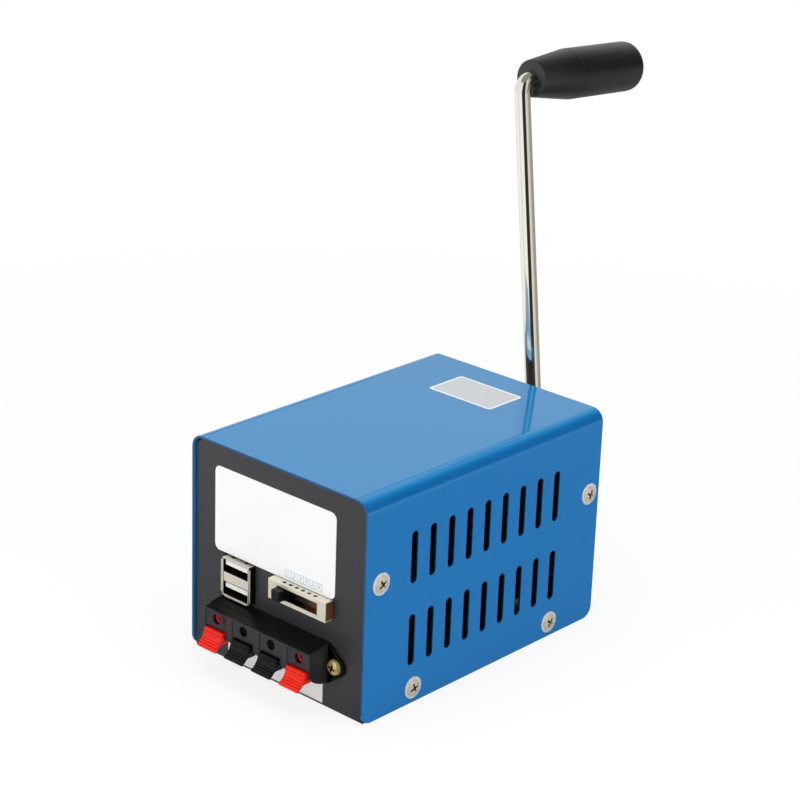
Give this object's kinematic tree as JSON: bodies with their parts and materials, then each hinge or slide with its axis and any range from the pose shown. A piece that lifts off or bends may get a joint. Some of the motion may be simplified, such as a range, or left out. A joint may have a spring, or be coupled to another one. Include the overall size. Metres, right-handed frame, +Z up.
{
  "type": "hand crank generator",
  "caption": "Sheet-metal box with a long bent-rod hand crank at the back, and USB sockets, a slide switch and spring-clip terminals on its control panel.",
  "frame": {"origin": "centre of the base's underside", "axes": "+X right as seen from the control panel, +Y back towards the crank, +Z up"},
  "size_m": [0.0904, 0.2193, 0.202],
  "materials": {
    "cover_paint": "semi-gloss blue enamel",
    "chassis_paint": "satin black powder coat",
    "screw_black": "blackened steel",
    "zinc_steel": "zinc plated",
    "gear_steel": "machined steel",
    "crank_chrome": "bright plated",
    "grip_plastic": "matte black",
    "bronze": "sintered bronze",
    "brass": "brass",
    "label_white": "white vinyl",
    "label_top": "pale printed vinyl",
    "tin_plate": "bright tin plate",
    "usb_white": "white nylon",
    "contact_gold": "gold flash",
    "switch_phenolic": "brown phenolic",
    "switch_black": "black",
    "terminal_black": "semi-gloss black",
    "lever_red": "red",
    "lever_black": "black",
    "board_green": "solder mask",
    "capacitor_black": "sleeve",
    "choke_ferrite": "enamelled wire on ferrite",
    "aluminium": "extruded",
    "magnet": "ferrite",
    "laminated_core": "laminated steel",
    "copper": "copper",
    "wire_red": "insulation",
    "wire_black": "insulation"
  },
  "bodies": {
    "housing": {"board_screws": "zinc_steel", "board_spacers": "brass", "bridge_rectifier": "switch_black", "capacitors": "capacitor_black", "chassis": "chassis_paint", "choke": "choke_ferrite", "circuit_board": "board_green", "cover": "cover_paint", "cover_screws": "zinc_steel", "crank_bushings": "bronze", "gearbox_front_plate": "aluminium", "gearbox_pillars": "aluminium", "gearbox_rear_plate": "aluminium", "gearbox_screws": "zinc_steel", "heat_sink": "aluminium", "idler_bushings": "bronze", "motor_can": "zinc_steel", "motor_end_cap": "switch_black", "motor_lead_black": "wire_black", "motor_lead_red": "wire_red", "motor_magnets": "magnet", "motor_screws": "zinc_steel", "motor_tabs": "tin_plate", "output_leads": "tin_plate", "panel_label": "label_white", "regulator": "switch_black", "switch_base": "switch_phenolic", "switch_frame": "tin_plate", "switch_pins": "tin_plate", "terminal_body": "terminal_black", "terminal_contacts": "tin_plate", "terminal_label": "label_white", "terminal_nuts": "brass", "terminal_screws": "brass", "top_label": "label_top", "usb_contacts": "contact_gold", "usb_divider": "tin_plate", "usb_insulators": "usb_white", "usb_shell": "tin_plate"},
    "crank": {"crank_rod": "crank_chrome", "crank_hub": "gear_steel", "hub_grub_screws": "screw_black", "crank_shaft": "gear_steel", "crank_gear": "gear_steel", "grip_retainer": "zinc_steel"},
    "grip": {"crank_grip": "grip_plastic", "grip_cap": "grip_plastic"},
    "idler": {"idler_gear": "gear_steel", "idler_pinion": "gear_steel", "idler_shaft": "gear_steel"},
    "rotor": {"rotor_shaft": "gear_steel", "motor_pinion": "brass", "rotor_core": "laminated_core", "commutator": "copper"},
    "lever_1": {"terminal_lever_1": "lever_red"},
    "lever_2": {"terminal_lever_2": "lever_black"},
    "lever_3": {"terminal_lever_3": "lever_black"},
    "lever_4": {"terminal_lever_4": "lever_red"},
    "slider": {"switch_slider": "switch_black"}
  },
  "joints": [
    {"name": "crank_spin", "type": "hinge", "parent": "housing", "child": "crank", "pos_m": [0, 0.0665, 0.042], "axis": [0, 1, 0], "continuous": true},
    {"name": "grip_spin", "type": "hinge", "parent": "crank", "child": "grip", "pos_m": [-0.01732, 0.079, 0.19402], "axis": [0.0075, 0.9978, -0.0658], "continuous": true},
    {"name": "idler_spin", "type": "hinge", "parent": "housing", "child": "idler", "pos_m": [-0.0215, 0.0475, 0.02284], "axis": [0, 1, 0], "continuous": true},
    {"name": "rotor_spin", "type": "hinge", "parent": "housing", "child": "rotor", "pos_m": [0, 0.006, 0.02491], "axis": [0, 1, 0], "continuous": true},
    {"name": "lever_1_press", "type": "hinge", "parent": "housing", "child": "lever_1", "pos_m": [-0.02063, -0.0706, 0.0149], "axis": [1, 0, 0], "range_deg": [0, 14], "stiffness_Nm_per_rad": 0.002, "springref_deg": -5.73},
    {"name": "lever_2_press", "type": "hinge", "parent": "housing", "child": "lever_2", "pos_m": [-0.00688, -0.0706, 0.0149], "axis": [1, 0, 0], "range_deg": [0, 14], "stiffness_Nm_per_rad": 0.002, "springref_deg": -5.73},
    {"name": "lever_3_press", "type": "hinge", "parent": "housing", "child": "lever_3", "pos_m": [0.00688, -0.0706, 0.0149], "axis": [1, 0, 0], "range_deg": [0, 14], "stiffness_Nm_per_rad": 0.002, "springref_deg": -5.73},
    {"name": "lever_4_press", "type": "hinge", "parent": "housing", "child": "lever_4", "pos_m": [0.02063, -0.0706, 0.0149], "axis": [1, 0, 0], "range_deg": [0, 14], "stiffness_Nm_per_rad": 0.002, "springref_deg": -5.73},
    {"name": "switch_slide", "type": "slide", "parent": "housing", "child": "slider", "axis": [1, 0, 0], "range_m": [0, 0.015]}
  ],
  "couplings": [
    {"joint": "idler_spin", "follows": "crank_spin", "ratio": -5},
    {"joint": "rotor_spin", "follows": "crank_spin", "ratio": 25}
  ]
}
